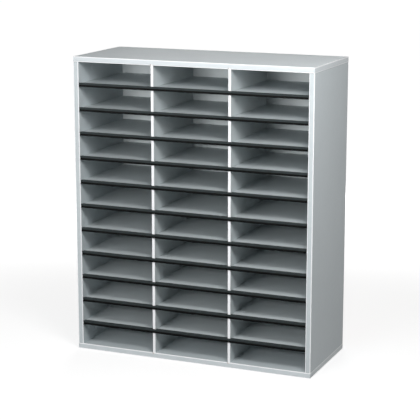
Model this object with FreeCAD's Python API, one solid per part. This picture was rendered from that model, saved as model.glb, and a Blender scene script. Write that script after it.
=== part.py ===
import FreeCAD, Part
import math
import os

from FreeCAD import Vector

# A pigeonhole sorter for letter-size papers. A casing of laminated board, joined at its corners by
# cam locks and dowels, holds a hardboard back, upright dividers and thin shelves. Shelves and
# dividers cross by half-depth slots, as in an egg crate. The shelves' ends stand in grooves of the
# side panels, which stop short of the front, so nothing moves once the casing is closed. A
# label-holder moulding is pushed onto each shelf's front edge, in front of the dividers.
# Millimetres. X runs to the right, Y to the back and Z up. The origin is on the floor, under the
# middle of the casing.

# ---- casing
WIDTH = 736.6               # outside, across the front
DEPTH = 301.6               # outside, front to back
HEIGHT = 881.1              # outside, floor to top
PANEL_T = 15.9              # laminated particleboard
ARRIS_R = 1.5               # rounding of the banded edges
COLUMNS = 3
ROWS = 12

# ---- back panel
BACK_T = 3.2                # hardboard
BACK_INSET = 9.0            # from the casing's rear edges to the back panel
BACK_GROOVE_D = 5.0         # into each casing panel

# ---- dividers
DIVIDER_T = 8.0
DIVIDER_CHAMFER = 0.6       # of the front edge
DADO_D = 4.0                # depth of the divider's grooves in the top and bottom panels

# ---- shelves
SHELF_T = 4.8               # hardboard
SHELF_GROOVE_D = 4.0        # into each side panel
GROOVE_STOP = 16.0          # the grooves stop this far behind the casing's front edges

# ---- label-holder moulding, extruded
FACE_H = 11.5               # height of the face
LIP_H = 2.3                 # how far each lip reaches over the label
LIP_T = 0.9                 # wall of the lips
POCKET_D = 0.8              # room for the label behind the lips
WEB_T = 1.1                 # wall between the label and the shelf
RISE = 1.2                  # the face stands this far above the upper arm
ARM_T = 1.0                 # wall of the two arms that grip the shelf
ARM_L = 12.0                # reach of the arms over the shelf
NOSE_R = 0.4                # rounding of the lips
FACE_SETBACK = 0.2          # the face lies this far behind the casing's front
MOULDING_END_GAP = 0.8      # from the moulding's end to the side panel

# ---- clearances
FIT_GAP = 0.1               # between a board's faces and the groove that holds it
END_GAP = 0.3               # between a board's end and the bottom or stop of its groove
CROSS_GAP = 0.3             # each side of a board in the slot of the board that it crosses

# ---- cam locks with their caps, cam bolts and dowels
FITTING_INSET = 88.0        # cams, from the casing's front and rear edges
DOWEL_INSET = 40.0          # dowels, from the casing's front and rear edges
CAM_FROM_END = 24.0         # cam centre, from the end of the side panel
CAM_R = 7.4
CAM_L = 12.4
CAM_BORE_R = 7.5
CAM_BORE_D = 12.8
CAM_SUNK = 0.2              # the cam's face lies this far below the panel's
CAM_CROSS_L = 8.0           # screwdriver cross in the cam's face
CAM_CROSS_W = 1.4
CAM_CROSS_D = 2.4
CAP_R = 8.6                 # cover cap, over the cam's bore
CAP_T = 0.9
CAP_CHAMFER = 0.4           # of the cap's rim
CAP_PLUG_GAP = 0.1          # between the cap's cross-shaped plug and the recess all round
JAW_HALF = 2.0              # half the gap between the cam's jaws, round the bolt's neck
HEAD_HALF = 3.4             # half the room behind the jaws, round the bolt's head
BOLT_THREAD_R = 3.0
BOLT_THREAD_L = 11.0
BOLT_SHANK_R = 3.4
BOLT_NECK_R = 1.7
BOLT_HEAD_R = 3.1
BOLT_HEAD_L = 4.0
BOLT_BORE_R = 3.6
DOWEL_R = 4.0
DOWEL_BORE_R = 4.05
DOWEL_IN_PANEL = 10.0       # share of the dowel in the top or bottom panel
DOWEL_IN_SIDE = 20.0        # share of the dowel in the side panel
BORE_SPARE = 0.5            # bores are this much deeper than what they hold
PEG_SIDES = 12              # bolts, dowels and their bores are closed in, and drawn with flats
CAM_SIDES = 18              # so are the cams and their bores, under the caps

# ---- worked out
inside_w = WIDTH - 2 * PANEL_T
inside_h = HEIGHT - 2 * PANEL_T
inside_x = inside_w / 2
front_y = -DEPTH / 2
rear_y = DEPTH / 2
back_y = (rear_y - BACK_INSET - BACK_T, rear_y - BACK_INSET)
bay_w = (inside_w - (COLUMNS - 1) * DIVIDER_T) / COLUMNS
mouth_h = (inside_h - (ROWS - 1) * FACE_H) / ROWS
face_y = front_y + FACE_SETBACK
face_d = LIP_T + POCKET_D + WEB_T
board_front_y = face_y + face_d
board_rear_y = back_y[0] - END_GAP
cross_y = (board_front_y + board_rear_y) / 2
divider_front_y = board_front_y + END_GAP
grip_top = FACE_H - RISE - ARM_T
groove_front_y = front_y + GROOVE_STOP
side_z = (PANEL_T, HEIGHT - PANEL_T)


def block(x, y, z):
    """Box between two bounds on each axis, given in either order."""
    sizes = [max(pair) - min(pair) for pair in (x, y, z)]
    return Part.makeBox(*sizes, Vector(min(x), min(y), min(z)))


def peg(foot, axis, steps, sides=PEG_SIDES):
    """Many-sided peg along X or Z, from (start, end, radius) steps along the axis from foot."""
    across = Vector(0, 1, 0)
    other = axis.cross(across)
    solids = []
    for start, end, radius in steps:
        corners = []
        for index in range(sides + 1):
            turn = 2 * math.pi * index / sides
            spoke = across * math.cos(turn) + other * math.sin(turn)
            corners.append(foot + axis * start + spoke * radius)
        solids.append(Part.Face(Part.makePolygon(corners)).extrude(axis * (end - start)))
    return solids[0].fuse(solids[1:]).removeSplitter() if len(solids) > 1 else solids[0]


def rounded_face(corners, x):
    """Face in the plane X = x, from (y, z, radius) corners rounded by tangent arcs."""
    edges = []
    last = None
    first = None
    for index, (y, z, radius) in enumerate(corners):
        corner = Vector(x, y, z)
        before = Vector(x, *corners[index - 1][:2]) - corner
        after = Vector(x, *corners[(index + 1) % len(corners)][:2]) - corner
        before.normalize()
        after.normalize()
        start = end = corner
        arc = None
        if radius > 0:
            half = before.getAngle(after) / 2
            inward = before + after
            inward.normalize()
            start = corner + before * (radius / math.tan(half))
            end = corner + after * (radius / math.tan(half))
            middle = corner + inward * (radius / math.sin(half) - radius)
            arc = Part.Arc(start, middle, end).toShape()
        if last is None:
            first = start
        else:
            edges.append(Part.makeLine(last, start))
        if arc:
            edges.append(arc)
        last = end
    edges.append(Part.makeLine(last, first))
    return Part.Face(Part.Wire(edges))


def shelf_base_z(number):
    """Underside of the moulding's face on one shelf, counted from 1 at the bottom."""
    return PANEL_T + number * mouth_h + (number - 1) * FACE_H


def board_z(number):
    """Underside and top of one shelf board."""
    top = shelf_base_z(number) + grip_top
    return (top - SHELF_T, top)


def divider_x(number):
    """Left and right faces of one divider, counted from 1 at the left."""
    left = -inside_x + number * bay_w + (number - 1) * DIVIDER_T
    return (left, left + DIVIDER_T)


shelf_numbers = range(1, ROWS)
divider_numbers = range(1, COLUMNS)


def widened(pair, gap):
    return (min(pair) - gap, max(pair) + gap)


# ---- corner joints: one row of fittings where each side panel meets the top and the bottom panel

def corner_joints():
    """Corner joints as (side sign, foot of the joint's plane, direction into the side panel)."""
    for side in (-1, 1):
        x = side * (inside_x + PANEL_T / 2)
        yield side, Vector(x, 0, side_z[1]), Vector(0, 0, -1)
        yield side, Vector(x, 0, side_z[0]), Vector(0, 0, 1)


def along_depth(inset):
    return (Vector(0, front_y + inset, 0), Vector(0, rear_y - inset, 0))


def bolt_bores():
    """Bolt bores through the joint plane: a thread hole in one panel, a long bore to the cam."""
    bores = []
    for _, foot, inward in corner_joints():
        for shift in along_depth(FITTING_INSET):
            place = foot + shift
            bores.append(peg(place, inward, [(-BOLT_THREAD_L - BORE_SPARE, 0, BOLT_THREAD_R)]))
            bores.append(peg(place, inward, [(0, CAM_FROM_END, BOLT_BORE_R)]))
    return bores


def dowel_bores():
    bores = []
    for _, foot, inward in corner_joints():
        for shift in along_depth(DOWEL_INSET):
            place = foot + shift
            reach = (-DOWEL_IN_PANEL - BORE_SPARE, DOWEL_IN_SIDE + BORE_SPARE)
            bores.append(peg(place, inward, [(*reach, DOWEL_BORE_R)]))
    return bores


def cam_mouth(side, place, inward):
    """Centre of a cam's bore on the side panel's inner face."""
    centre = place + inward * CAM_FROM_END
    return Vector(side * inside_x, centre.y, centre.z)


def cam_bores():
    bores = []
    for side, foot, inward in corner_joints():
        for shift in along_depth(FITTING_INSET):
            mouth = cam_mouth(side, foot + shift, inward)
            bores.append(peg(mouth, Vector(side, 0, 0), [(0, CAM_BORE_D, CAM_BORE_R)], CAM_SIDES))
    return bores


def cross_bars(mouth, side, depths, gap):
    """The two bars of the cam's cross recess between two depths, smaller all round by a gap."""
    xs = [mouth.x + side * depth for depth in depths]
    long_half = CAM_CROSS_L / 2 - gap
    short_half = CAM_CROSS_W / 2 - gap
    bars = []
    for half_y, half_z in ((short_half, long_half), (long_half, short_half)):
        ys = (mouth.y - half_y, mouth.y + half_y)
        zs = (mouth.z - half_z, mouth.z + half_z)
        bars.append(block(xs, ys, zs))
    return bars


def cam_lock(side, place, inward):
    """Zinc cam: a drum with two jaws behind which it draws the bolt's head, and a cross recess."""
    mouth = cam_mouth(side, place, inward)
    drum = peg(mouth, Vector(side, 0, 0), [(CAM_SUNK, CAM_SUNK + CAM_L, CAM_R)], CAM_SIDES)
    head_start = CAM_FROM_END - BOLT_HEAD_L / 2 - FIT_GAP
    head_end = CAM_FROM_END + BOLT_HEAD_L / 2 + FIT_GAP
    jaw_room = room_round(place, inward, 0, head_start, JAW_HALF)
    head_room = room_round(place, inward, head_start, head_end, HEAD_HALF)
    recess = cross_bars(mouth, side, (CAM_SUNK, CAM_SUNK + CAM_CROSS_D), 0)
    return drum.cut([jaw_room, head_room, *recess])


def cam_cap(side, place, inward):
    """Plastic cap on the side panel's face: a thin disc with a cross-shaped plug in the recess."""
    mouth = cam_mouth(side, place, inward)
    into_bay = Vector(-side, 0, 0)
    disc = Part.makeCylinder(CAP_R, CAP_T, mouth, into_bay)
    rim = [
        edge for edge in disc.Edges
        if edge.Closed and abs(edge.CenterOfMass.x - mouth.x) > CAP_T / 2
    ]
    disc = disc.makeChamfer(CAP_CHAMFER, rim)
    plug_depths = (0, CAM_SUNK + CAM_CROSS_D - CAP_PLUG_GAP)
    return disc.fuse(cross_bars(mouth, side, plug_depths, CAP_PLUG_GAP)).removeSplitter()


def room_round(place, inward, start, end, half):
    """Square channel about the bolt's axis, between two distances from the joint's plane."""
    near = place + inward * start
    far = place + inward * end
    return block((near.x - half, near.x + half), (near.y - half, near.y + half), (near.z, far.z))


def cam_bolt(place, inward):
    """Steel bolt: thread in the outer panel, shank and neck in the side panel, head in the cam."""
    neck_start = CAM_FROM_END - CAM_R - FIT_GAP
    head_start = CAM_FROM_END - BOLT_HEAD_L / 2
    head_end = CAM_FROM_END + BOLT_HEAD_L / 2
    thread = (-BOLT_THREAD_L, 0, BOLT_THREAD_R)
    shank = (0, neck_start, BOLT_SHANK_R)
    neck = (neck_start, head_start, BOLT_NECK_R)
    head = (head_start, head_end, BOLT_HEAD_R)
    return peg(place, inward, [thread, shank, neck, head])


def cam_locks():
    return [
        cam_lock(side, foot + shift, inward)
        for side, foot, inward in corner_joints()
        for shift in along_depth(FITTING_INSET)
    ]


def cam_caps():
    return [
        cam_cap(side, foot + shift, inward)
        for side, foot, inward in corner_joints()
        for shift in along_depth(FITTING_INSET)
    ]


def cam_bolts():
    return [
        cam_bolt(foot + shift, inward)
        for _, foot, inward in corner_joints()
        for shift in along_depth(FITTING_INSET)
    ]


def dowels():
    return [
        peg(foot + shift, inward, [(-DOWEL_IN_PANEL, DOWEL_IN_SIDE, DOWEL_R)])
        for _, foot, inward in corner_joints()
        for shift in along_depth(DOWEL_INSET)
    ]


# ---- casing

def level_panel(outer_z, inner_z):
    """Top or bottom panel: grooves for the dividers and the back, and bores for the fittings."""
    board = block((-WIDTH / 2, WIDTH / 2), (front_y, rear_y), (outer_z, inner_z))
    level = [edge for edge in board.Edges if edge.Length > PANEL_T]
    board = board.makeFillet(ARRIS_R, level)
    into = 1 if outer_z > inner_z else -1
    cuts = []
    for number in divider_numbers:
        dado_x = widened(divider_x(number), FIT_GAP)
        cuts.append(block(dado_x, (front_y, back_y[0]), (inner_z, inner_z + into * DADO_D)))
    groove_x = inside_x + BACK_GROOVE_D
    groove_z = (inner_z, inner_z + into * BACK_GROOVE_D)
    cuts.append(block((-groove_x, groove_x), widened(back_y, FIT_GAP), groove_z))
    return board.cut(cuts + bolt_bores() + dowel_bores())


def side_panel(side):
    """Side panel: a stopped groove for each shelf, one for the back, and bores for the fittings."""
    inner_x = side * inside_x
    board = block((inner_x, inner_x + side * PANEL_T), (front_y, rear_y), side_z)
    upright = [edge for edge in board.Edges if edge.Length > DEPTH]
    board = board.makeFillet(ARRIS_R, upright)
    cuts = []
    for number in shelf_numbers:
        groove_x = (inner_x, inner_x + side * SHELF_GROOVE_D)
        groove_z = widened(board_z(number), FIT_GAP)
        cuts.append(block(groove_x, (groove_front_y, back_y[0]), groove_z))
    back_x = (inner_x, inner_x + side * BACK_GROOVE_D)
    cuts.append(block(back_x, widened(back_y, FIT_GAP), side_z))
    return board.cut(cuts + bolt_bores() + dowel_bores() + cam_bores())


def back_panel():
    reach = BACK_GROOVE_D - END_GAP
    return block(widened((-inside_x, inside_x), reach), back_y, widened(side_z, reach))


# ---- dividers

def divider(number):
    """Upright divider: each shelf stands in a slot in its front half."""
    sides = divider_x(number)
    low_z = side_z[0] - DADO_D + FIT_GAP
    high_z = side_z[1] + DADO_D - FIT_GAP
    board = block(sides, (divider_front_y, back_y[0] - FIT_GAP), (low_z, high_z))
    arrises = [
        edge for edge in board.Edges
        if abs(edge.CenterOfMass.y - divider_front_y) < FIT_GAP and edge.Length > DIVIDER_T
    ]
    board = board.makeChamfer(DIVIDER_CHAMFER, arrises)
    through = widened(sides, DIVIDER_T)
    arm_rear_y = board_front_y + ARM_L
    cuts = []
    for shelf_number in shelf_numbers:
        slot_z = widened(board_z(shelf_number), CROSS_GAP)
        mouth_z = widened(board_z(shelf_number), ARM_T + CROSS_GAP)
        cuts.append(block(through, (front_y, cross_y + END_GAP), slot_z))
        cuts.append(block(through, (front_y, arm_rear_y + END_GAP), mouth_z))
    return board.cut(cuts)


# ---- shelves

def shelf(number):
    """Shelf board: rear slots straddle the dividers, front corners are cut away at the stops."""
    half_x = inside_x + SHELF_GROOVE_D - END_GAP
    board = block((-half_x, half_x), (board_front_y, board_rear_y), board_z(number))
    through = widened(board_z(number), SHELF_T)
    cuts = [
        block(widened(divider_x(n), CROSS_GAP), (cross_y, rear_y), through)
        for n in divider_numbers
    ]
    corner_y = (front_y, groove_front_y + END_GAP)
    for side in (-1, 1):
        corner_x = (side * (inside_x - END_GAP), side * WIDTH / 2)
        cuts.append(block(corner_x, corner_y, through))
    return board.cut(cuts)


def moulding(number):
    """Extruded label holder: a pocket between two lips in front, two arms on the board behind."""
    base = shelf_base_z(number)
    pocket_y = LIP_T + POCKET_D
    tip_y = face_d + ARM_L
    upper = grip_top + ARM_T
    lower = grip_top - SHELF_T - ARM_T
    section = [
        (0, 0, NOSE_R),
        (0, LIP_H, NOSE_R),
        (LIP_T, LIP_H, 0),
        (LIP_T, LIP_T, 0),
        (pocket_y, LIP_T, 0),
        (pocket_y, FACE_H - LIP_T, 0),
        (LIP_T, FACE_H - LIP_T, 0),
        (LIP_T, FACE_H - LIP_H, 0),
        (0, FACE_H - LIP_H, NOSE_R),
        (0, FACE_H, NOSE_R),
        (face_d, FACE_H, 0),
        (face_d, upper, 0),
        (tip_y, upper, 0),
        (tip_y, grip_top, 0),
        (face_d, grip_top, 0),
        (face_d, grip_top - SHELF_T, 0),
        (tip_y, grip_top - SHELF_T, 0),
        (tip_y, lower, 0),
        (face_d, lower, 0),
        (face_d, 0, 0),
    ]
    end_x = inside_x - MOULDING_END_GAP
    corners = [(face_y + y, base + z, radius) for y, z, radius in section]
    return rounded_face(corners, -end_x).extrude(Vector(2 * end_x, 0, 0))


# ---- every piece, by name

def pieces():
    yield "top_panel", [level_panel(HEIGHT, side_z[1])]
    yield "bottom_panel", [level_panel(0, side_z[0])]
    yield "left_side_panel", [side_panel(-1)]
    yield "right_side_panel", [side_panel(1)]
    yield "back_panel", [back_panel()]
    for name, number in zip(("left_divider", "right_divider"), divider_numbers):
        yield name, [divider(number)]
    for number in shelf_numbers:
        yield f"shelf_{number:02d}", [shelf(number)]
        yield f"shelf_moulding_{number:02d}", [moulding(number)]
    yield "cam_locks", cam_locks()
    yield "cam_cover_caps", cam_caps()
    yield "cam_bolts", cam_bolts()
    yield "wood_dowels", dowels()


os.makedirs("parts", exist_ok=True)
for name, solids in pieces():
    shape = solids[0] if len(solids) == 1 else Part.makeCompound(solids)
    shape.exportStep(f"parts/{name}.step")
    print(name, len(shape.Solids), round(shape.Volume), shape.isValid())
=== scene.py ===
import math
from functools import reduce

import bmesh
import bpy
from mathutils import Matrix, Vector


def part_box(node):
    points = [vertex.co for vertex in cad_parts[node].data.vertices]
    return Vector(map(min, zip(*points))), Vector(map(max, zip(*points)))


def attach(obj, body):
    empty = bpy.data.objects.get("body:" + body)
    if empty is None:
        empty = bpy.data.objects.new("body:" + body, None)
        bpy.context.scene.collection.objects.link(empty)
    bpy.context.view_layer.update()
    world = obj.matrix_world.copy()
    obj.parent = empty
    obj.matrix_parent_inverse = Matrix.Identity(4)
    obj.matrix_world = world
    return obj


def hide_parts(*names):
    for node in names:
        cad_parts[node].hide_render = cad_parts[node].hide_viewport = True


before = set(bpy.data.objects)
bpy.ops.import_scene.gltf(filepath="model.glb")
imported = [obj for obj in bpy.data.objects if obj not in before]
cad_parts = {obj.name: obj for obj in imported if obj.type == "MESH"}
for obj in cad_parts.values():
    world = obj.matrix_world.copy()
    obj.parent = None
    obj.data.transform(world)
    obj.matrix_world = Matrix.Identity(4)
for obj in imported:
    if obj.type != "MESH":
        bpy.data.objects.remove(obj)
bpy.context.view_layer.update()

# ---- camera
# A long lens in front and to the right of the casing, a little above its top, turned down to the
# middle of it.
CAMERA_PLACE = (1.593, -3.793, 1.330)
CAMERA_DOWN = 0.2161
CAMERA_LEFT = 0.3981
LENS_MM = 122.14

bpy.ops.object.select_all(action="DESELECT")
bpy.ops.object.camera_add(
    location=CAMERA_PLACE, rotation=(math.pi / 2 - CAMERA_DOWN, 0, CAMERA_LEFT)
)
camera = bpy.context.object
camera.name = "camera"
camera.data.lens = LENS_MM
bpy.context.scene.camera = camera
bpy.context.scene.view_settings.view_transform = "Standard"

# ---- casing boards
# Four boards of 16 mm particleboard, faced on both sides with light grey melamine. Their grooves
# and bores are cut through the facing, so they show the bare chips.
LEVEL_BOARDS = ("top_panel", "bottom_panel")
SIDE_BOARDS = ("left_side_panel", "right_side_panel")
MELAMINE_SKIN = 0.0006
CLOUD, SPECK, TOUCH_MARK = 0.012, 0.00045, 0.06
PEARL, PEARL_DEPTH = 0.0008, 0.0002
BAND_T = 0.002
GLUE_LINE_W = 0.00025
CHIP = 0.0016
AXES = "xyz"


class Socket:
    """A node's output. Sums and products with it add Math nodes to its tree."""

    def __init__(self, output):
        self.output = output
        self.tree = output.id_data

    def node(self, kind, settings, inputs, output=0):
        """Adds a node: its settings first, then a value or a link for each input named."""
        made = self.tree.nodes.new("ShaderNode" + kind)
        for name, value in settings.items():
            if name == "stops":
                for index, (position, colour) in enumerate(value):
                    if index > 1:
                        made.color_ramp.elements.new(position)
                    made.color_ramp.elements[index].position = position
                    made.color_ramp.elements[index].color = colour
            else:
                setattr(made, name, value)
        for name, value in inputs.items():
            if isinstance(value, Socket):
                self.tree.links.new(value.output, made.inputs[name])
            else:
                made.inputs[name].default_value = value
        return Socket(made.outputs[output])

    def maths(self, operation, first, second):
        """A Math node on two values or sockets."""
        return self.node("Math", {"operation": operation}, {0: first, 1: second})

    def __add__(self, other):
        return self.maths("ADD", self, other)

    __radd__ = __add__

    def __sub__(self, other):
        return self.maths("SUBTRACT", self, other)

    def __rsub__(self, other):
        return self.maths("SUBTRACT", other, self)

    def __mul__(self, other):
        return self.maths("MULTIPLY", self, other)

    __rmul__ = __mul__

    def feed(self, shader, name):
        """Joins the output to one of a shader's inputs."""
        self.tree.links.new(self.output, shader.inputs[name])


def tone(red, green, blue):
    """A colour as scene-linear RGBA, from the 0 to 255 values of a colour chart."""
    steps = [value / 255 for value in (red, green, blue)]
    return (*[s / 12.92 if s <= 0.04045 else ((s + 0.055) / 1.055) ** 2.4 for s in steps], 1)


def new_finish(name, roughness, gloss):
    """A material, its shader and the place of each point on the object, in metres."""
    material = bpy.data.materials.new(name)
    material.use_nodes = True
    nodes = material.node_tree.nodes
    shader = nodes["Principled BSDF"]
    shader.inputs["Roughness"].default_value = roughness
    shader.inputs["Specular IOR Level"].default_value = gloss
    return material, shader, Socket(nodes.new("ShaderNodeTexCoord").outputs["Object"])


def along(place, axis):
    """The reading of a point or a direction along one axis."""
    return place.node("SeparateXYZ", {}, {"Vector": place}, AXES.index(axis))


def noise(place, size, detail=2.0, stretch=(1, 1, 1)):
    """Soft noise about 0.5, with grains of a size in metres, longer along stretched axes."""
    scales = tuple(1 / (size * times) for times in stretch)
    point = place.node("Mapping", {}, {"Vector": place, "Scale": scales})
    return point.node("TexNoise", {}, {"Vector": point, "Scale": 1.0, "Detail": detail})


def mixed(mask, under, over):
    """The colour under where the mask is 0 and over where it is 1."""
    return mask.node("Mix", {"data_type": "RGBA"}, {0: mask, 6: under, 7: over}, 2)


def shaded(colour, light):
    """A colour made lighter or darker by a varying factor."""
    return light.node("VectorMath", {"operation": "SCALE"}, {0: colour[:3], "Scale": light})


def above(value, edge, width):
    """0 below an edge and 1 above it, changing softly over a width in the value's units."""
    ends = {"From Min": edge - width / 2, "From Max": edge + width / 2}
    return value.node("MapRange", {"interpolation_type": "SMOOTHSTEP"}, {"Value": value, **ends})


def relief(height, strength, depth, shader):
    """Raises the surface by a height field, whose full swing is a depth in metres."""
    bump = height.node("Bump", {}, {"Strength": strength, "Distance": depth, "Height": height})
    bump.feed(shader, "Normal")


def least(values):
    """The least of several readings."""
    return reduce(lambda one, other: one.maths("MINIMUM", one, other), values)


def inset(place, low, high, axes):
    """How far each point lies inside the nearest outer face of a board, in metres."""
    depths = []
    for axis in axes:
        reading = along(place, axis)
        depths += [reading - getattr(low, axis), getattr(high, axis) - reading]
    return least(depths)


def chips(place):
    """Pressed wood chips: flat flakes of many browns in dark resin."""
    flake = place.node("Mapping", {}, {"Vector": place, "Scale": (1 / CHIP,) * 3})
    flake = flake.node("TexVoronoi", {"feature": "F1"}, {"Vector": flake, "Scale": 1.0}, "Color")
    shade = flake.node("SeparateColor", {}, {"Color": flake}, 0)
    browns = [(0.0, tone(96, 70, 44)), (0.45, tone(168, 130, 88)), (1.0, tone(205, 172, 126))]
    return shade.node("ValToRGB", {"stops": browns}, {"Fac": shade})


def melamine(place, shader, colour):
    """Printed melamine: faint clouds and fine specks, under a pearled press-plate texture."""
    clouds = noise(place, CLOUD, detail=3.0)
    specks = noise(place, SPECK, detail=1.0)
    touched = noise(place, TOUCH_MARK, detail=3.0)
    (0.42 + 0.1 * touched).feed(shader, "Roughness")
    relief(noise(place, PEARL), 0.15, PEARL_DEPTH, shader)
    return shaded(colour, 0.955 + 0.05 * clouds + 0.04 * specks)


def dress(node, material):
    """Gives a carried-over piece its finish."""
    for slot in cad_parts[node].material_slots:
        slot.material = material


CASING_GREY = tone(199, 207, 210)
GLUE = tone(128, 126, 120)
for node in LEVEL_BOARDS + SIDE_BOARDS:
    low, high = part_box(node)
    material, shader, place = new_finish(node + "_finish", roughness=0.46, gloss=0.35)
    facing = melamine(place, shader, CASING_GREY)
    rim = inset(place, low, high, "xy" if node in LEVEL_BOARDS else "y")
    glue = 1 - above(rim, BAND_T + GLUE_LINE_W, GLUE_LINE_W)
    facing = mixed(0.5 * glue, facing, GLUE)
    below = above(inset(place, low, high, AXES), MELAMINE_SKIN, MELAMINE_SKIN / 4)
    mixed(below, facing, chips(place)).feed(shader, "Base Color")
    dress(node, material)

# ---- edge banding
# Light grey plastic strip, 2 mm thick, glued round the rims of the level boards and to the front
# and rear edges of the side boards. It is trimmed to their faces, and its arrises are rounded and
# carry a painted highlight, a pale line along each.
ARRIS_R = 0.0015
ARRIS_STEPS = 6
ARRIS_HIGHLIGHT_W = 0.0022
PROUD = 0.00005
ABOVE_FLOOR = 0.00002
SMOOTH_UNDER = math.radians(35)
MOSTLY = 0.5
LEFT, RIGHT = Vector((-1, 0, 0)), Vector((1, 0, 0))
FRONT, REAR = Vector((0, -1, 0)), Vector((0, 1, 0))
LEVEL_BANDING = tone(206, 213, 216)
SIDE_BANDING = tone(194, 202, 205)
# The colour of the painted highlight along the banding's arrises.
PAINTED_ARRIS_HIGHLIGHT = tone(248, 250, 252)
BANDING_CLOUD, HANDLED = 0.02, 0.04
BANDING_GRAIN, BANDING_DEPTH = 0.0012, 0.0001


def start_block(name, low, high):
    """A block between two corners, as the start of a piece."""
    bpy.ops.object.select_all(action="DESELECT")
    bpy.ops.mesh.primitive_cube_add(size=1, location=(low + high) / 2, scale=high - low)
    piece = bpy.context.object
    piece.name = name
    bpy.ops.object.transform_apply(location=True, rotation=False, scale=True)
    return piece


def edit(piece, kind):
    """Opens a piece in edit mode with nothing selected, and gives its mesh."""
    bpy.context.view_layer.objects.active = piece
    bpy.ops.object.mode_set(mode="EDIT")
    bpy.ops.mesh.select_mode(type=kind)
    bpy.ops.mesh.select_all(action="DESELECT")
    return bmesh.from_edit_mesh(piece.data)


def strip(name, low, high, flat, outer):
    """A strip whose arrises, between its flat faces and its outer ones, are rounded."""
    piece = start_block(name, low, high)
    shape = edit(piece, "EDGE")
    for edge in shape.edges:
        sides = [face.normal for face in edge.link_faces]
        on_flat = any(abs(getattr(side, flat)) > MOSTLY for side in sides)
        on_outer = any(side.dot(way) > MOSTLY for side in sides for way in outer)
        edge.select_set(on_flat and on_outer)
    shape.select_flush_mode()
    bmesh.update_edit_mesh(piece.data)
    bpy.ops.mesh.bevel(offset=ARRIS_R, segments=ARRIS_STEPS, affect="EDGES")
    bpy.ops.object.mode_set(mode="OBJECT")
    return piece


def cut_away(piece, cutters):
    """Cuts blocks out of a piece."""
    for cutter in cutters:
        bpy.ops.object.select_all(action="DESELECT")
        bpy.context.view_layer.objects.active = piece
        bpy.ops.object.modifier_add(type="BOOLEAN")
        piece.modifiers[-1].object = cutter
        piece.modifiers[-1].operation = "DIFFERENCE"
        bpy.ops.object.modifier_apply(modifier=piece.modifiers[-1].name)
        bpy.data.objects.remove(cutter)


def joined(name, pieces):
    """Pieces made one, with soft shading over their rounded edges."""
    bpy.ops.object.select_all(action="DESELECT")
    for piece in pieces:
        piece.select_set(True)
    bpy.context.view_layer.objects.active = pieces[0]
    if len(pieces) > 1:
        bpy.ops.object.join()
    piece = bpy.context.object
    piece.name = piece.data.name = name
    bpy.ops.object.shade_smooth_by_angle(angle=SMOOTH_UNDER)
    return piece


def finished(piece, material):
    """Gives a modelled piece its finish and its slot, and fixes it to the casing."""
    piece.data.materials.clear()
    piece.data.materials.append(material)
    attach(piece, "root")


def divider_notches(board_front):
    """Blocks where the dividers' grooves run out through a level board's front banding."""
    cutters = []
    for divider in ("left_divider", "right_divider"):
        low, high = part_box(divider)
        reach = Vector((PROUD, BAND_T, PROUD))
        low = Vector((low.x, board_front - BAND_T, low.z)) - reach
        high = Vector((high.x, board_front + BAND_T, high.z)) + reach
        cutters.append(start_block("notch", low, high))
    return cutters


def banding_finish(name, colour):
    """Smooth satin plastic strip, faintly clouded by handling, not yet joined to its shader."""
    material, shader, place = new_finish(name, roughness=0.36, gloss=0.45)
    (0.3 + 0.12 * noise(place, HANDLED, detail=3.0)).feed(shader, "Roughness")
    relief(noise(place, BANDING_GRAIN), 0.1, BANDING_DEPTH, shader)
    clouds = noise(place, BANDING_CLOUD, detail=3.0)
    return material, shader, place, shaded(colour, 0.97 + 0.06 * clouds)


def board_banding(node, colour, flat, outer):
    """A board's banding, with a painted highlight along its arrises, between flat and outer faces.
    """
    material, shader, place, strip_colour = banding_finish(node + "_banding_finish", colour)
    to_flat = inset(place, *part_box(node), flat)
    to_edge = to_flat.maths("MAXIMUM", to_flat, inset(place, *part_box(node), outer))
    # Painted highlight: the arrises are painted paler, where light catches them.
    painted_highlight = 1 - above(to_edge, ARRIS_HIGHLIGHT_W, ARRIS_HIGHLIGHT_W / 4)
    mixed(painted_highlight, strip_colour, PAINTED_ARRIS_HIGHLIGHT).feed(shader, "Base Color")
    return material


for node in LEVEL_BOARDS:
    low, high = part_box(node)
    low, high = low - Vector((PROUD,) * 3), high + Vector((PROUD,) * 3)
    low.z = max(low.z, ABOVE_FLOOR)
    front_y, rear_y = low.y + PROUD + BAND_T, high.y - PROUD - BAND_T
    front = strip("front", low, Vector((high.x, front_y, high.z)), "z", (FRONT, LEFT, RIGHT))
    cut_away(front, divider_notches(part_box(node)[0].y))
    rear = strip("rear", Vector((low.x, rear_y, low.z)), high, "z", (REAR, LEFT, RIGHT))
    left_high = Vector((low.x + BAND_T, rear_y, high.z))
    left = strip("left", Vector((low.x, front_y, low.z)), left_high, "z", (LEFT,))
    right_low = Vector((high.x - BAND_T, front_y, low.z))
    right = strip("right", right_low, Vector((high.x, rear_y, high.z)), "z", (RIGHT,))
    material = board_banding(node, LEVEL_BANDING, "z", "xy")
    finished(joined(node + "_banding", [front, rear, left, right]), material)

for node in SIDE_BOARDS:
    low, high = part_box(node)
    low, high = low - Vector((PROUD, PROUD, 0)), high + Vector((PROUD, PROUD, 0))
    front = strip("front", low, Vector((high.x, low.y + PROUD + BAND_T, high.z)), "x", (FRONT,))
    rear = strip("rear", Vector((low.x, high.y - PROUD - BAND_T, low.z)), high, "x", (REAR,))
    material = board_banding(node, SIDE_BANDING, "x", "y")
    finished(joined(node + "_banding", [front, rear]), material)

# ---- back panel
# One sheet of 3 mm hardboard in the casing's rear groove. Its front is painted a pale, near-white
# grey; its rear is bare and carries the print of the wire mesh that it was pressed on.
WIRE_PITCH, WIRE_DEPTH = 0.0016, 0.0004
PAINT_FADE = 0.0002
BACK_CLOUD, BACK_FIBRE = 0.03, 0.0012
BACK_PAINT = tone(242, 248, 249)
HARDBOARD_DARK = tone(92, 66, 44)
HARDBOARD_LIGHT = tone(146, 112, 78)
WIRE_PRINT = tone(70, 50, 34)


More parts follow.
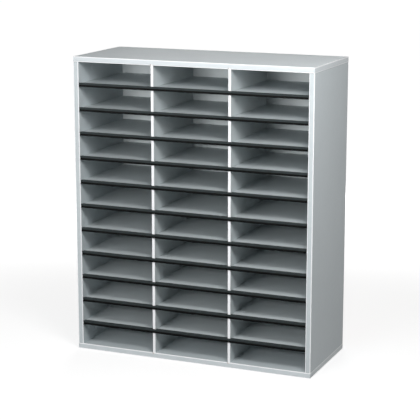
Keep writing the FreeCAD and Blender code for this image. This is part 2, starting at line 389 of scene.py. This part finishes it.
def wires(place, axis):
    """Rounded ridges of the press's wire mesh, across one axis."""
    turn = along(place, axis) * (2 * math.pi / WIRE_PITCH)
    return 0.5 + 0.5 * turn.node("Math", {"operation": "SINE"}, {0: turn})


low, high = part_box("back_panel")
material, shader, place = new_finish("back_panel_finish", roughness=0.55, gloss=0.3)
clouds = noise(place, BACK_CLOUD, detail=4.0)
fibre = noise(place, BACK_FIBRE, detail=3.0, stretch=(2, 1, 0.6))
bare = above(along(place, "y"), (low.y + high.y) / 2, PAINT_FADE)
mesh_print = wires(place, "x") * wires(place, "z")
hardboard = mixed(0.15 + 0.25 * clouds + 0.45 * fibre, HARDBOARD_DARK, HARDBOARD_LIGHT)
hardboard = mixed(0.35 * mesh_print, hardboard, WIRE_PRINT)
painted = shaded(BACK_PAINT, 0.96 + 0.05 * clouds)
mixed(bare, painted, hardboard).feed(shader, "Base Color")
(0.5 + 0.3 * bare).feed(shader, "Roughness")
relief(bare * mesh_print + 0.2 * fibre, 0.4, WIRE_DEPTH, shader)
dress("back_panel", material)

# ---- dividers
# Two upright boards, 8 mm thick, faced in light grey, with white banding on the front edge. The
# shelves cross them in slots sawn in their front half, where the chips show.
WHITE_BAND_T = 0.001
WHITE_BAND_R = 0.0005
WHITE_BAND_STEPS = 4
SLOT_PAST_SHELF = 0.0013
DIVIDER_GREY = tone(202, 209, 211)
WHITE = tone(248, 250, 252)
SHELF_NODES = sorted(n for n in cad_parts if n.startswith("shelf_") and "moulding" not in n)

white_banding, shader, _, white = banding_finish("white_banding_finish", WHITE)
white.feed(shader, "Base Color")

for node in ("left_divider", "right_divider"):
    low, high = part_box(node)
    material, shader, place = new_finish(node + "_finish", roughness=0.45, gloss=0.35)
    facing = melamine(place, shader, DIVIDER_GREY)
    below = above(inset(place, low, high, "x"), MELAMINE_SKIN, MELAMINE_SKIN / 4)
    mixed(below, facing, chips(place)).feed(shader, "Base Color")
    dress(node, material)

    starts = [low.z] + [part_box(shelf)[1].z + SLOT_PAST_SHELF for shelf in SHELF_NODES]
    ends = [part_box(shelf)[0].z - SLOT_PAST_SHELF for shelf in SHELF_NODES] + [high.z]
    lengths = []
    for start, end in zip(starts, ends):
        piece = start_block(
            "length",
            Vector((low.x - PROUD, low.y - PROUD, start)),
            Vector((high.x + PROUD, low.y + WHITE_BAND_T, end)),
        )
        shape = edit(piece, "EDGE")
        for edge in shape.edges:
            middle = (edge.verts[0].co + edge.verts[1].co) / 2
            upright = abs(middle.z - (start + end) / 2) < WHITE_BAND_R
            edge.select_set(middle.y < low.y and upright)
        shape.select_flush_mode()
        bmesh.update_edit_mesh(piece.data)
        bpy.ops.mesh.bevel(offset=WHITE_BAND_R, segments=WHITE_BAND_STEPS, affect="EDGES")
        bpy.ops.object.mode_set(mode="OBJECT")
        lengths.append(piece)
    finished(joined(node + "_banding", lengths), white_banding)

# ---- shelves
# Eleven boards of 5 mm hardboard, painted light grey on both faces. The sawn edges and the slots
# that straddle the dividers are bare brown fibre.
SHELF_PAINT = tone(206, 213, 215)
SHELF_CLOUD, SHELF_FIBRE, FIBRE_DEPTH = 0.02, 0.0009, 0.0002
LEVEL_FROM, LEVEL_FADE = 0.5, 0.2

material, shader, place = new_finish("shelf_finish", roughness=0.5, gloss=0.3)
clouds = noise(place, SHELF_CLOUD, detail=3.0)
fibre = noise(place, SHELF_FIBRE, detail=3.0, stretch=(3, 1, 1))
facing_way = Socket(place.output.node.outputs["Normal"])
rise = along(facing_way, "z")
level = above(rise.node("Math", {"operation": "ABSOLUTE"}, {0: rise}), LEVEL_FROM, LEVEL_FADE)
painted = shaded(SHELF_PAINT, 0.955 + 0.04 * clouds + 0.03 * fibre)
mixed(level, mixed(fibre, HARDBOARD_DARK, HARDBOARD_LIGHT), painted).feed(shader, "Base Color")
(0.46 + 0.1 * clouds).feed(shader, "Roughness")
relief(fibre, 0.15, FIBRE_DEPTH, shader)
for node in SHELF_NODES:
    dress(node, material)

# ---- label-holder mouldings
# Eleven lengths of black PVC extrusion, pushed onto the shelves' front edges: two lips hold a paper
# label and two arms grip the board. The die leaves fine lines along them. The upper half is painted
# paler, as painted light from above, and the lower half darker, as painted shade.
DIE_LINE, DIE_LINE_STRETCH, DIE_LINE_DEPTH = 0.0004, 400, 0.0001
DUST = 0.015
LIT_HALF_FADE = 0.002
# Blacks for the lower half, darkened as painted shade, and for the upper half, lightened as painted
# light.
BLACKS = (tone(4, 5, 5), tone(11, 13, 13))
PAINTED_LIT_BLACKS = (tone(51, 57, 58), tone(64, 70, 71))

material, shader, place = new_finish("moulding_finish", roughness=0.36, gloss=0.05)
lines = noise(place, DIE_LINE, stretch=(DIE_LINE_STRETCH, 1, 1))
dust = noise(place, DUST, detail=3.0)
low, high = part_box("shelf_moulding_01")
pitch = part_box("shelf_moulding_02")[0].z - low.z
height = along(place, "z") - low.z
height = height.node("Math", {"operation": "FLOORED_MODULO"}, {0: height, 1: pitch})
# Splits each moulding at mid-height: painted light on the upper half, painted shade on the lower.
painted_lit_half = above(height, (high.z - low.z) / 2, LIT_HALF_FADE)
marks = 0.5 * dust + 0.3 * lines
mixed(painted_lit_half, mixed(marks, *BLACKS), mixed(marks, *PAINTED_LIT_BLACKS)).feed(shader, "Base Color")
(0.3 + 0.14 * dust).feed(shader, "Roughness")
relief(lines, 0.2, DIE_LINE_DEPTH, shader)
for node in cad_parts:
    if node.startswith("shelf_moulding_"):
        dress(node, material)

# ---- cover caps
# Grey plastic caps cover the zinc cams, which are sunk in the side panels' inner faces in the top
# and bottom rows.
CAP_GREYS = (tone(193, 201, 204), tone(206, 213, 216))
CAP_GRAIN, CAP_DEPTH = 0.0006, 0.0001

material, shader, place = new_finish("cam_cap_finish", roughness=0.5, gloss=0.35)
grain = noise(place, CAP_GRAIN)
mixed(grain, *CAP_GREYS).feed(shader, "Base Color")
relief(grain, 0.2, CAP_DEPTH, shader)
dress("cam_cover_caps", material)

# ---- fittings, modelled
# The bolts, cams and dowels are hidden in the joints, and are modelled finer than the solids that
# they stand for. Each is made once about the foot of its joint, then copied to the eight places.
JOINT_X = sum(corner.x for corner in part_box("right_side_panel")) / 2
JOINT_Z = (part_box("bottom_panel")[1].z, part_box("top_panel")[0].z)
PANEL_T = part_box("bottom_panel")[1].z
BOLT_INSET = 0.088
DOWEL_INSET = 0.040
UP = Vector((0, 0, 1))
FINE_SIDES = 48


def turned(name, start, axis, radius, steps):
    """A turned piece: a disc pulled along an axis in steps of a length and a new radius."""
    bpy.ops.object.select_all(action="DESELECT")
    place = axis * start
    bpy.ops.mesh.primitive_circle_add(
        vertices=FINE_SIDES, radius=radius, fill_type="NGON", location=place,
        rotation=axis.to_track_quat("Z", "Y").to_euler(),
    )
    piece = bpy.context.object
    piece.name = name
    bpy.ops.object.transform_apply(location=True, rotation=True, scale=True)
    edit(piece, "FACE")
    bpy.ops.mesh.select_all(action="SELECT")
    for length, new_radius in steps:
        place = place + axis * length
        bpy.ops.mesh.extrude_region_move(TRANSFORM_OT_translate={"value": axis * length})
        wider = new_radius / radius
        growth = [1 + (wider - 1) * (1 - abs(share)) for share in axis]
        bpy.ops.transform.resize(value=growth, center_override=place)
        radius = new_radius
    bpy.ops.mesh.select_all(action="SELECT")
    bpy.ops.mesh.normals_make_consistent(inside=False)
    bpy.ops.object.mode_set(mode="OBJECT")
    return piece


def eight_copies(name, piece, from_edge):
    """A fitting near the front and rear edges of all four joints, half turned to suit each."""
    board_low, board_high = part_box("top_panel")
    foot_z, head_z = JOINT_Z
    turns = ((None, 1, foot_z), ("Z", -1, foot_z), ("Y", -1, head_z), ("X", 1, head_z))
    copies = []
    for axis, side, z in turns:
        for y in (board_low.y + from_edge, board_high.y - from_edge):
            bpy.ops.object.select_all(action="DESELECT")
            piece.select_set(True)
            bpy.context.view_layer.objects.active = piece
            bpy.ops.object.duplicate()
            if axis:
                bpy.ops.transform.rotate(value=math.pi, orient_axis=axis, center_override=(0, 0, 0))
            bpy.ops.transform.translate(value=(side * JOINT_X, y, z))
            bpy.ops.object.transform_apply(location=True, rotation=True, scale=True)
            copies.append(bpy.context.object)
    bpy.data.objects.remove(piece)
    return joined(name, copies)


CAM_PLACE = 0.024
CAM_R, CAM_SUNK, CAM_L = 0.00735, 0.0002, 0.0124
CAM_BEVEL = 0.0004
CROSS_L, CROSS_W, CROSS_D = 0.008, 0.0014, 0.0024
NECK_HALF, HEAD_HALF = 0.002, 0.0034
HEAD_ROOM = 0.0001

TIP_START, TIP_L, TIP_R = -0.011, 0.0015, 0.0008
CORE_L, CORE_R = 0.0089, 0.0023
COLLAR_L = 0.0006
SHANK_R, NECK_R, HEAD_R = 0.0034, 0.0017, 0.0031
HEAD_L = 0.004
EASED, SHOULDER = 0.0003, 0.0004
HEAD_STEP, HEAD_ROUND = 0.0002, 0.0005
RECESS_L, RECESS_W, RECESS_D = 0.0038, 0.0008, 0.0016

THREAD_START = -0.0102
THREAD_PITCH = 0.0016
THREAD_TURNS = 6
THREAD_STEPS = 24
THREAD_R = 0.00297
TOOTH = 0.0006

tip_and_core = [(TIP_L, CORE_R), (CORE_L, CORE_R)]
shank = [
    (COLLAR_L, SHANK_R - EASED), (EASED, SHANK_R),
    (CAM_PLACE - CAM_R - 3 * EASED, SHANK_R), (SHOULDER, SHANK_R - SHOULDER),
]
neck = [
    (0.0, NECK_R + EASED), (EASED, NECK_R),
    (CAM_R - HEAD_L / 2 - SHOULDER, NECK_R), (HEAD_STEP, NECK_R + EASED),
]
head = [
    (HEAD_STEP, HEAD_R - EASED), (SHOULDER, HEAD_R),
    (HEAD_L - 2 * HEAD_ROUND, HEAD_R), (SHOULDER, HEAD_R - HEAD_ROUND),
]
bolt = turned("bolt", TIP_START, UP, TIP_R, tip_and_core + shank + neck + head)
slots = []
for slot_x, slot_y in ((RECESS_L, RECESS_W), (RECESS_W, RECESS_L)):
    half = Vector((slot_x / 2, slot_y / 2, RECESS_D))
    middle = Vector((0, 0, CAM_PLACE + HEAD_L / 2))
    slots.append(start_block("slot", middle - half, middle + half))
cut_away(bolt, slots)

bpy.ops.object.select_all(action="DESELECT")
bpy.ops.mesh.primitive_circle_add(
    vertices=3, radius=TOOTH, location=(THREAD_R - TOOTH, 0, THREAD_START),
    rotation=(math.pi / 2, 0, 0),
)
ridge = bpy.context.object
bpy.ops.transform.rotate(value=-math.pi / 2, orient_axis="Y", center_override=ridge.location)
bpy.ops.object.transform_apply(location=True, rotation=True, scale=True)
bpy.ops.object.modifier_add(type="SCREW")
screw = ridge.modifiers[-1]
screw.angle = 2 * math.pi
screw.steps = screw.render_steps = THREAD_STEPS
screw.iterations = THREAD_TURNS
screw.screw_offset = THREAD_PITCH
bpy.ops.object.modifier_apply(modifier=screw.name)
edit(ridge, "VERT")
bpy.ops.mesh.select_non_manifold()
bpy.ops.mesh.fill()
bpy.ops.mesh.select_all(action="SELECT")
bpy.ops.mesh.normals_make_consistent(inside=False)
bpy.ops.object.mode_set(mode="OBJECT")
bolts = eight_copies("turned_cam_bolts", joined("bolt", [bolt, ridge]), BOLT_INSET)

STEELS = (tone(176, 178, 182), tone(214, 216, 220))
BRUSH_MARK = 0.0006
material, shader, place = new_finish("steel_finish", roughness=0.3, gloss=0.5)
shader.inputs["Metallic"].default_value = 1.0
brushed = noise(place, BRUSH_MARK, detail=3.0, stretch=(1, 1, 0.3))
mixed(brushed, *STEELS).feed(shader, "Base Color")
(0.22 + 0.2 * brushed).feed(shader, "Roughness")
finished(bolts, material)
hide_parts("cam_bolts")

face = CAM_SUNK - PANEL_T / 2
drum = [(CAM_BEVEL, CAM_R), (CAM_L - 2 * CAM_BEVEL, CAM_R), (CAM_BEVEL, CAM_R - CAM_BEVEL)]
cam = turned("cam", face, RIGHT, CAM_R - CAM_BEVEL, drum)
bpy.ops.object.select_all(action="DESELECT")
cam.select_set(True)
bpy.ops.transform.translate(value=(0, 0, CAM_PLACE))
bpy.ops.object.transform_apply(location=True, rotation=False, scale=False)
head_low = CAM_PLACE - HEAD_L / 2
jaws = turned("jaws", 0.0, UP, NECK_HALF, [(head_low, NECK_HALF)])
head_room = turned(
    "head_room", head_low - HEAD_ROOM, UP, HEAD_HALF, [(HEAD_L + 2 * HEAD_ROOM, HEAD_HALF)]
)
open_side = start_block(
    "open_side", Vector((0, -NECK_HALF, 0)), Vector((PANEL_T, NECK_HALF, head_low))
)
bars = []
for half_y, half_z in ((CROSS_L / 2, CROSS_W / 2), (CROSS_W / 2, CROSS_L / 2)):
    bars.append(start_block(
        "bar", Vector((face - CROSS_D, -half_y, CAM_PLACE - half_z)),
        Vector((face + CROSS_D, half_y, CAM_PLACE + half_z)),
    ))
cut_away(cam, [jaws, head_room, open_side, *bars])
cams = eight_copies("cast_cam_locks", cam, BOLT_INSET)

ZINCS = (tone(140, 142, 144), tone(196, 198, 200))
CAST_GRAIN, CAST_DEPTH = 0.0012, 0.0002
material, shader, place = new_finish("zinc_finish", roughness=0.45, gloss=0.5)
shader.inputs["Metallic"].default_value = 1.0
cast = noise(place, CAST_GRAIN, detail=4.0)
mixed(cast, *ZINCS).feed(shader, "Base Color")
(0.35 + 0.25 * cast).feed(shader, "Roughness")
relief(cast, 0.35, CAST_DEPTH, shader)
finished(cams, material)
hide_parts("cam_locks")

DOWEL_R, DOWEL_BEVEL = 0.0039, 0.0007
DOWEL_START, DOWEL_L = -0.010, 0.030
FLUTE, FLUTE_EVERY = 0.94, 3
dowel = turned(
    "dowel", DOWEL_START, UP, DOWEL_R - DOWEL_BEVEL,
    [(DOWEL_BEVEL, DOWEL_R), (DOWEL_L - 2 * DOWEL_BEVEL, DOWEL_R),
     (DOWEL_BEVEL, DOWEL_R - DOWEL_BEVEL)],
)
shape = edit(dowel, "VERT")
for corner in shape.verts:
    turn = math.atan2(corner.co.y, corner.co.x) / (2 * math.pi) * FINE_SIDES
    at_rim = corner.co.xy.length > DOWEL_R * FLUTE
    corner.select_set(at_rim and round(turn) % FLUTE_EVERY == 0)
shape.select_flush_mode()
bmesh.update_edit_mesh(dowel.data)
bpy.ops.transform.resize(value=(FLUTE, FLUTE, 1), center_override=(0, 0, 0))
bpy.ops.object.mode_set(mode="OBJECT")
dowels = eight_copies("fluted_dowels", dowel, DOWEL_INSET)

BEECHES = (tone(190, 158, 118), tone(222, 194, 152))
BEECH_GRAIN, BEECH_DEPTH = 0.0008, 0.0002
material, shader, place = new_finish("beech_finish", roughness=0.6, gloss=0.3)
grain = noise(place, BEECH_GRAIN, detail=4.0, stretch=(1, 1, 14))
mixed(grain, *BEECHES).feed(shader, "Base Color")
relief(grain, 0.3, BEECH_DEPTH, shader)
finished(dowels, material)
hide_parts("wood_dowels")

# ---- floor and background
# A pale level floor under a white surround. Rays from the camera, and in gloss, see both white,
# with the sorter's soft shadow left in.
FLOOR_HALF = 20.0
FLOOR_GLOW = 0.71
FULL_GLOW_FROM = 1.5
FULL_GLOW_WIDTH = 1.4
AMBIENT = 0.05
FLOOR_GREY = tone(178, 178, 178)
WHITE_LIGHT = (1, 1, 1, 1)


def seen_directly(tree):
    """1 for rays from the camera, in gloss or through glass, and 0 for the light on a surface."""
    rays = tree.nodes.new("ShaderNodeLightPath")
    names = ("Is Camera Ray", "Is Glossy Ray", "Is Transmission Ray")
    from_camera, in_gloss, through = [Socket(rays.outputs[name]) for name in names]
    return in_gloss.maths("MAXIMUM", from_camera, in_gloss.maths("MAXIMUM", in_gloss, through))


bpy.ops.object.select_all(action="DESELECT")
bpy.ops.mesh.primitive_plane_add(size=2 * FLOOR_HALF)
floor = bpy.context.object
floor.name = "floor"
material, shader, place = new_finish("floor_finish", roughness=0.9, gloss=0.0)
shader.inputs["Base Color"].default_value = FLOOR_GREY
shader.inputs["Emission Color"].default_value = WHITE_LIGHT
away = place.node("VectorMath", {"operation": "LENGTH"}, {0: place}, "Value")
glow = FLOOR_GLOW + (1 - FLOOR_GLOW) * above(away, FULL_GLOW_FROM, FULL_GLOW_WIDTH)
(glow * seen_directly(material.node_tree)).feed(shader, "Emission Strength")
floor.data.materials.append(material)

world = bpy.data.worlds.new("surround")
world.use_nodes = True
bpy.context.scene.world = world
background = world.node_tree.nodes["Background"]
background.inputs["Color"].default_value = WHITE_LIGHT
(AMBIENT + (1 - AMBIENT) * seen_directly(world.node_tree)).feed(background, "Strength")

# ---- lamps
# Soft boxes as in a small studio: a long one in front, left of the middle, two smaller ones at the
# right front, and others at the left front, overhead, on the right, close in front and behind.
LAMPS = {
    "front_lamp": ((-0.5, -3.0, 1.14), (-0.1, 0.0, 0.54), (1.0, 0.3), 28.5),
    "corner_lamp": ((0.9, -1.1, 1.5), (0.2, 0.0, 0.6), (0.5, 0.5), 10.0),
    "side_lamp": ((1.1, -0.9, 1.15), (0.2, -0.1, 0.7), (0.5, 0.5), 4.5),
    "left_lamp": ((-1.2, -1.8, 0.95), (-0.1, 0.0, 0.4), (0.8, 0.8), 9.0),
    "top_lamp": ((0.2, 0.1, 2.6), (0.0, 0.0, 0.8), (1.2, 1.2), 3.0),
    "right_lamp": ((0.85, -0.3, 1.15), (0.37, -0.05, 0.75), (0.3, 0.3), 0.6),
    "inner_lamp": ((0.28, -0.9, 1.45), (-0.3, -0.15, 0.5), (0.3, 0.3), 1.8),
    "rear_lamp": ((-0.8, 2.4, 0.6), (0.0, 0.0, 0.45), (1.2, 0.8), 40.0),
}
for name, (spot, aim, size, watts) in LAMPS.items():
    bpy.ops.object.light_add(type="AREA", location=spot)
    lamp = bpy.context.object
    lamp.name = name
    lamp.data.shape = "RECTANGLE"
    lamp.data.size, lamp.data.size_y = size
    lamp.data.energy = watts
    lamp.rotation_euler = (Vector(spot) - Vector(aim)).to_track_quat("Z", "Y").to_euler()
